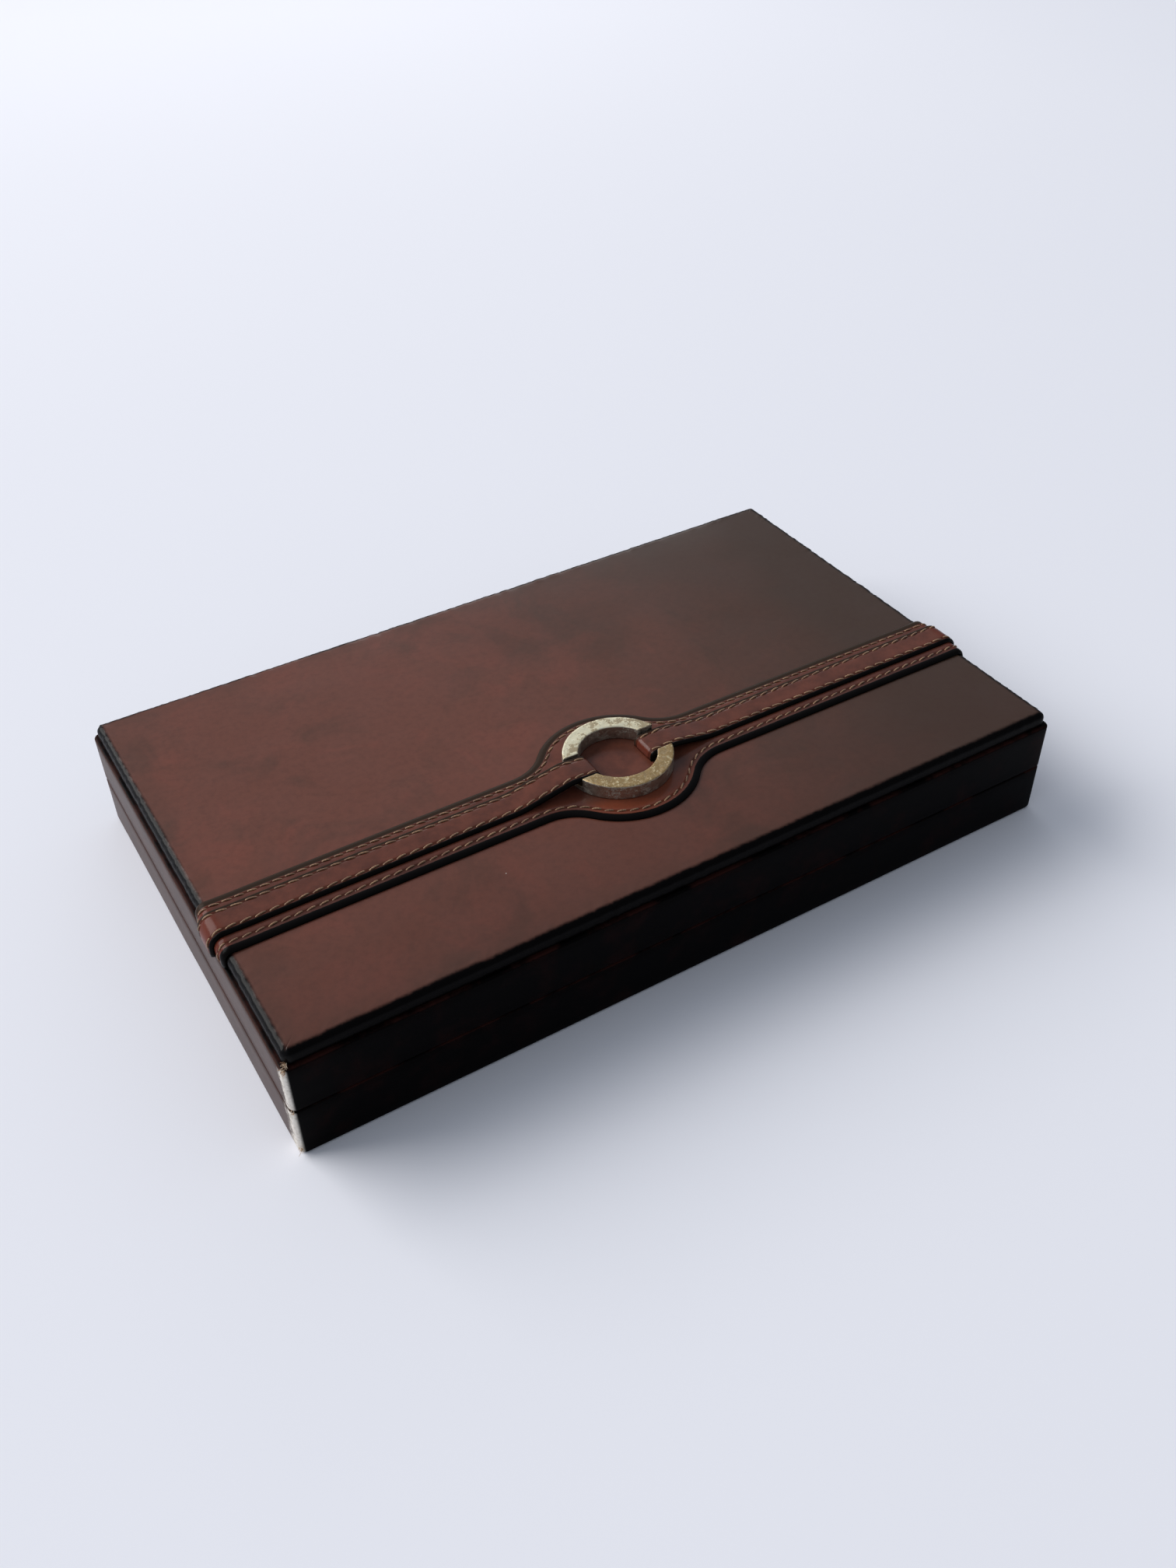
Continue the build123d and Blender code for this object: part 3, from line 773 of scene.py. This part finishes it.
def strap(name, path, side, half_width, section, finish, lift):
    """A strap along a path in the XZ plane, with its section across; stores each point's inset."""
    normals = normals_of(path, side)
    points, insets = [], []
    across = [(inset, h, 1) for inset, h in section]
    across += [(None, section[-1][1], f) for f in (0.6, 0.2, -0.2, -0.6)]
    across += [(inset, h, -1) for inset, h in reversed(section)]
    across += [(None, 0.0, f) for f in (-0.7, 0.0, 0.7)]
    for p, n in zip(path, normals):
        inner = half_width(p.x, section[-1][0])
        for inset, h, place in across:
            y = place * half_width(p.x, inset) if inset is not None else place * inner
            z = lift(p.x, y)
            points.append(Vector((p.x + n.x * h, STRAP_Y + y, p.y + n.y * h + z)))
            insets.append(half_width(p.x, 0.0) - abs(y) if inset is None else inset)
    size = len(across)
    faces = join_rings(len(path), size)
    if side * (path[-1].x - path[0].x) > 0:
        faces = [tuple(reversed(f)) for f in faces]
    last = (len(path) - 1) * size
    faces += [tuple(range(size)), tuple(reversed(range(last, last + size)))]
    return mesh_piece(name, points, faces, finish, "lid", {"edge_distance": insets})


def stitch_row(path, side, offset, height, lift, pitch, slant):
    """The stitches of one sewn row: (points, faces, twist) of slanted thread loops sunk in the leather."""
    normals = normals_of(path, side)
    row = []
    for p, n in zip(path, normals):
        y = offset(p.x)
        on_top = Vector((p.x + n.x * height, STRAP_Y + y, p.y + n.y * height + lift(p.x, y)))
        row.append((on_top, Vector((n.x, 0, n.y))))
    lengths = [0.0]
    for (a, _), (b, _) in zip(row, row[1:]):
        lengths.append(lengths[-1] + (b - a).length)

    def at(distance):
        """Place, direction and upward normal at a distance along the row."""
        low, high = 0, len(lengths) - 1
        while high - low > 1:
            i = (low + high) // 2
            if lengths[i] <= distance:
                low = i
            else:
                high = i
        share = (distance - lengths[low]) / max(lengths[high] - lengths[low], 1e-9)
        place = row[low][0].lerp(row[high][0], share)
        along = (row[high][0] - row[low][0]).normalized()
        up = row[low][1].lerp(row[high][1], share).normalized()
        return place, along, up

    points, faces, twist = [], [], []
    count = int(lengths[-1] / pitch)
    pitch = lengths[-1] / count
    round_steps, long_steps = 7, 9
    # Each stitch takes up this share of its pitch, after this gap
    gap, share_of_pitch = 0.07, 0.86
    for number in range(count):
        uneven = random.uniform(-0.05, 0.05)
        turn = random.uniform(0.85, 1.15) * slant
        rise = random.uniform(0.85, 1.15)
        first = len(points)
        for i in range(long_steps + 1):
            t = i / long_steps
            place, along, up = at((number + gap + share_of_pitch * t + uneven * t) * pitch)
            across = along.cross(up)
            arch = math.sin(math.pi * t)
            sink = -0.36 * mm + 0.62 * mm * rise * arch**0.5
            centre = place + up * sink + across * (turn * (t - 0.5) * 2)
            thick = (0.24 + 0.09 * arch) * mm
            for k in range(round_steps):
                angle = 2 * math.pi * k / round_steps
                points.append(centre + across * thick * math.cos(angle) * 1.15 + up * thick * math.sin(angle))
                twist.append(angle + t * 26.0)
        faces += [tuple(reversed(f)) for f in join_rings(long_steps + 1, round_steps, first)]
        last = first + long_steps * round_steps
        faces += [tuple(range(first, first + round_steps)), tuple(reversed(range(last, last + round_steps)))]
    return points, faces, twist


def stitching(name, rows, finish):
    """Several sewn rows as one piece."""
    points, faces, twist = [], [], []
    for more_points, more_faces, more_twist in rows:
        first = len(points)
        points += more_points
        faces += [tuple(i + first for i in f) for f in more_faces]
        twist += more_twist
    return mesh_piece(name, points, faces, finish, "lid", {"twist": twist})


def flat_lift(x, y):
    """How far a strap follows the panel's crown: fully, but less over the rounded ends."""
    near_end = max(0.0, min(1.0, (PANEL_HALF_LENGTH - abs(x)) / (12 * mm)))
    return crown(x, STRAP_Y + y) * near_end


def make_straps(wide_finish, narrow_finish, thread_finish):
    """Wide strap, both narrow straps and every sewn row."""
    tail = wide_low.z
    step = 1.6 * mm
    corners = [
        (-PANEL_HALF_LENGTH, tail),
        (-PANEL_HALF_LENGTH, PANEL_TOP),
        (PANEL_HALF_LENGTH, PANEL_TOP),
        (PANEL_HALF_LENGTH, tail),
    ]
    path = rounded_path(corners, [PANEL_EDGE, PANEL_EDGE], step)
    section = strap_section(WIDE_THICKNESS, WIDE_DYE, WIDE_STITCH)
    wide = strap("wide_strap_leather", path, 1, lobed_half_width, section, wide_finish, flat_lift)
    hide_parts("wide_strap")
    rows = [
        stitch_row(
            path, 1, lambda x, s=sign: s * lobed_half_width(x, WIDE_STITCH),
            STITCH_HEIGHT * WIDE_THICKNESS, flat_lift, WIDE_PITCH, STITCH_SLANT * sign,
        )
        for sign in (-1, 1)
    ]
    sewn = stitching("wide_strap_stitches", rows, thread_finish)
    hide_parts("wide_strap_thread")

    under = PANEL_TOP + WIDE_THICKNESS
    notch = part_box("ring")[0].z + NOTCH_FLOOR
    ramp_top = RING_OUTER + 1.4 * mm
    narrow_rows = []
    # Each strap arches over its notch; the left one stands higher than the right
    for side_name, side, ramp_foot, arch in (
        ("left", -1, RING_OUTER + 25 * mm, 2.4 * mm),
        ("right", 1, RING_OUTER + 19 * mm, 1.0 * mm),
    ):
        end = PANEL_HALF_LENGTH + WIDE_THICKNESS
        turn = STRAP_TURN + NARROW_THICKNESS
        corners = [
            (side * end, tail),
            (side * end, under),
            (side * ramp_foot, under),
            (side * ramp_top, notch + arch),
            (side * turn, notch + arch * 0.6),
            (side * turn, under + 0.1 * mm),
        ]
        radii = [PANEL_EDGE + WIDE_THICKNESS, 34 * mm, 16 * mm, 0.9 * mm]
        path = rounded_path(corners, radii, 1.2 * mm)
        section = strap_section(NARROW_THICKNESS, NARROW_DYE, NARROW_STITCH)
        piece = strap(
            f"{side_name}_strap_leather", path, -side,
            lambda x, inset: NARROW_HALF - inset, section, narrow_finish, flat_lift,
        )
        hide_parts(f"{side_name}_strap")
        # The sewing stops a little short of both tips
        sewn_path = path[2:-4]
        for sign in (-1, 1):
            narrow_rows.append(
                stitch_row(
                    sewn_path, -side, lambda x, s=sign: s * (NARROW_HALF - NARROW_STITCH),
                    STITCH_HEIGHT * NARROW_THICKNESS, flat_lift, NARROW_PITCH, -STITCH_SLANT * sign * side,
                )
            )
    sewn = stitching("narrow_strap_stitches", narrow_rows, thread_finish)
    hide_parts("narrow_strap_thread")


# ---------------------------------------------------------------- the ring


def make_ring(finish):
    """The notched ring with softened, knocked edges, worked from the CAD ring's own shape."""
    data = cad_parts["ring"].data.copy()
    welded = bmesh.new()
    welded.from_mesh(data)
    bmesh.ops.remove_doubles(welded, verts=welded.verts, dist=0.001 * mm)
    welded.to_mesh(data)
    welded.free()
    piece = bpy.data.objects.new("ring_plated", data)
    bpy.context.scene.collection.objects.link(piece)
    for name, kind, settings in (
        ("even", "REMESH", {"mode": "VOXEL", "voxel_size": 0.30 * mm}),
        ("soften", "SMOOTH", {"factor": 0.5, "iterations": 3}),
    ):
        modifier = piece.modifiers.new(name, kind)
        for key, value in settings.items():
            setattr(modifier, key, value)
    graph = bpy.context.evaluated_depsgraph_get()
    softened = bpy.data.meshes.new_from_object(piece.evaluated_get(graph))
    piece.modifiers.clear()
    piece.data = softened
    normals = [vertex.normal.copy() for vertex in softened.vertices]
    for vertex, normal in zip(softened.vertices, normals):
        knock = wander(vertex.co, 2.4 * mm, 0.07 * mm) + wander(vertex.co, 0.9 * mm, 0.03 * mm)
        vertex.co += normal * knock
    softened.materials.clear()
    softened.materials.append(finish)
    softened.polygons.foreach_set("use_smooth", [True] * len(softened.polygons))
    softened.update()
    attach(piece, "lid")
    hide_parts("ring")


# ---------------------------------------------------------------- the frayed corner


def raw_fibres():
    """Undyed leather fibres."""
    shader = Shader("raw_fibres", Specular_IOR_Level=0.2)
    tint = shader.noise(0.8 * mm, 3.0)
    colour = shader.mix(tint.ramp(0.4, 0.6), (0.42, 0.24, 0.13), (0.80, 0.68, 0.52))
    shader.set(Base_Color=colour, Roughness=0.75 + tint * 0.2)
    return shader.material


def fray(name, tufts, finish, body):
    """Short curled fibres that stand out of a worn corner, in tufts of (centre, count, length)."""
    points, faces = [], []
    sides, steps = 5, 5
    for centre, count, length in tufts:
        for _ in range(count):
            spread = [random.uniform(-1, 1) for _ in range(3)]
            root = Vector(centre) + Vector((0.5 * spread[0], 0.8 * spread[1], 0.7 * spread[2])) * mm
            way = Vector((-random.uniform(0.2, 1.0), -random.uniform(0.1, 0.9), random.uniform(-0.7, 0.9)))
            curl = Vector((random.uniform(-1, 1), random.uniform(-1, 1), random.uniform(-1, 1)))
            reach = length * random.uniform(0.5, 1.0)
            thick = random.uniform(0.08, 0.15) * mm
            first = len(points)
            for i in range(steps + 1):
                t = i / steps
                middle = root + (way.normalized() * t + curl * 0.35 * t * t) * reach
                across = way.cross(curl).normalized()
                other = across.cross(way).normalized()
                width = thick * (1.0 - 0.75 * t)
                for k in range(sides):
                    angle = 2 * math.pi * k / sides
                    points.append(middle + (across * math.cos(angle) + other * math.sin(angle)) * width)
            faces += [tuple(reversed(f)) for f in join_rings(steps + 1, sides, first)]
            last = first + steps * sides
            faces += [tuple(range(first, first + sides)), tuple(reversed(range(last, last + sides)))]
    piece = mesh_piece(name, points, faces, finish, body)


def corner_fray(finish):
    """Fibres at the front left corner of the lid and of the base."""
    x, y = -HALF_LENGTH + 1.0 * mm, -HALF_WIDTH + 1.0 * mm
    fray(
        "lid_corner_fray",
        [
            ((x, y, lid_high.z - 0.5 * mm), 30, 2.1 * mm),
            ((x, y, lid_low.z + 0.6 * mm), 12, 1.3 * mm),
            ((x + 1.5 * mm, y + 1.5 * mm, panel_low.z + 0.6 * mm), 26, 2.3 * mm),
        ],
        finish,
        "lid",
    )
    fray(
        "base_corner_fray",
        [((x, y, base_high.z - 0.6 * mm), 9, 1.2 * mm), ((x, y, 2.6 * mm), 16, 2.0 * mm)],
        finish,
        "base",
    )


# ---------------------------------------------------------------- put together

panel_finish = polished_panel()
case_finish = case_leather()

cover = panel_cover(panel_finish)
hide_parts("panel_leather")

lid_skin = lid_shell(case_finish)
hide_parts("lid_leather")

base_skin = base_shell(case_finish)
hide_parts("base_leather", "base_bottom_cover")

make_straps(
    strap_leather("wide_strap_polish", WIDE_DYE, WIDE_STITCH),
    strap_leather("narrow_strap_polish", NARROW_DYE, NARROW_STITCH, STRAP_TURN),
    waxed_thread(),
)
corner_fray(raw_fibres())
make_ring(worn_plating())

# Finishes of the CAD pieces that stay as they are
tan_suede = suede("tan_suede", (0.33, 0.205, 0.120), (0.43, 0.285, 0.175))
brown_felt = suede("brown_felt", (0.15, 0.060, 0.036), (0.20, 0.090, 0.055), 0.8)
tray_finish = plain_wood("stained_wood", (0.20, 0.090, 0.042), (0.09, 0.038, 0.018))
box_finish = plain_wood("box_wood", (0.55, 0.38, 0.21), (0.36, 0.22, 0.11))
brass_finish = brass()
steel_finish = plated_steel()
foam_finish = foam()

for node_name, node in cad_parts.items():
    if "lining" in node_name:
        finish = tan_suede
    elif node_name == "well_pads":
        finish = brown_felt
    elif node_name.startswith("chip_trough") or node_name in ("centre_rail", "card_divider"):
        finish = tray_finish
    elif "hinge" in node_name and "pin" not in node_name:
        finish = brass_finish
    elif "magnets" in node_name or "pin" in node_name:
        finish = steel_finish
    elif node_name == "panel_padding":
        finish = foam_finish
    else:
        finish = box_finish
    node.data.materials.clear()
    node.data.materials.append(finish)

# ---------------------------------------------------------------- floor and light

FLOOR_REACH = 6.0
SKY_COLOUR = (0.80, 0.88, 1.0, 1.0)
BRIGHT_SIDE = (-0.62, 0.78, 0.05)
DIM_SKY = 0.33
BRIGHT_SKY = 0.66
KEY_PLACE = (-5.10, 5.65, 5.34)
KEY_SIZE = (8.2, 5.4)
KEY_POWER = 837.0
BACK_PLACE = (0.75, 1.70, 0.75)
BACK_SIZE = (0.9, 0.35)
BACK_POWER = 1.5


def make_floor():
    """A plain pale floor."""
    shader = Shader("floor_paint", Roughness=0.9, Specular_IOR_Level=0.1)
    cloud = shader.noise(0.9, 2.0)
    shader.set(Base_Color=shader.mix(cloud, (0.865, 0.862, 0.912), (0.890, 0.884, 0.926)))
    data = bpy.data.meshes.new("floor")
    corners = [(FLOOR_REACH * x, FLOOR_REACH * y, 0) for x, y in ((-1, -1), (1, -1), (1, 1), (-1, 1))]
    data.from_pydata(corners, [], [(0, 1, 2, 3)])
    data.materials.append(shader.material)
    floor = bpy.data.objects.new("floor", data)
    bpy.context.scene.collection.objects.link(floor)


def soft_light(name, place, target, size, power, colour):
    """A rectangular soft light that faces a target."""
    data = bpy.data.lights.new(name, "AREA")
    data.shape = "RECTANGLE"
    data.size, data.size_y = size
    data.energy = power
    data.color = colour
    lamp = bpy.data.objects.new(name, data)
    lamp.location = place
    lamp.rotation_mode = "QUATERNION"
    lamp.rotation_quaternion = (Vector(target) - Vector(place)).to_track_quat("-Z", "Y")
    bpy.context.scene.collection.objects.link(lamp)


def make_light():
    """A room that is bright behind the case and to its left, a key light there, and a low back light."""
    middle = (0, 0, 0)
    world = bpy.data.worlds.new("studio")
    world.use_nodes = True
    nodes, links = world.node_tree.nodes, world.node_tree.links
    sky = nodes["Background"]
    sky.inputs["Color"].default_value = SKY_COLOUR
    way = nodes.new("ShaderNodeTexCoord")
    towards = nodes.new("ShaderNodeVectorMath")
    towards.operation = "DOT_PRODUCT"
    towards.inputs[1].default_value = BRIGHT_SIDE
    level = nodes.new("ShaderNodeMapRange")
    level.interpolation_type = "SMOOTHSTEP"
    level.inputs["From Min"].default_value = -0.65
    level.inputs["From Max"].default_value = 1.0
    level.inputs["To Min"].default_value = DIM_SKY
    level.inputs["To Max"].default_value = BRIGHT_SKY
    links.new(way.outputs["Generated"], towards.inputs[0])
    links.new(towards.outputs["Value"], level.inputs["Value"])
    links.new(level.outputs["Result"], sky.inputs["Strength"])
    bpy.context.scene.world = world
    soft_light("key", KEY_PLACE, middle, KEY_SIZE, KEY_POWER, (1.0, 0.985, 0.965))
    soft_light("back", BACK_PLACE, middle, BACK_SIZE, BACK_POWER, (1.0, 0.99, 0.96))


make_floor()
make_light()
bpy.context.scene.view_settings.view_transform = "Standard"
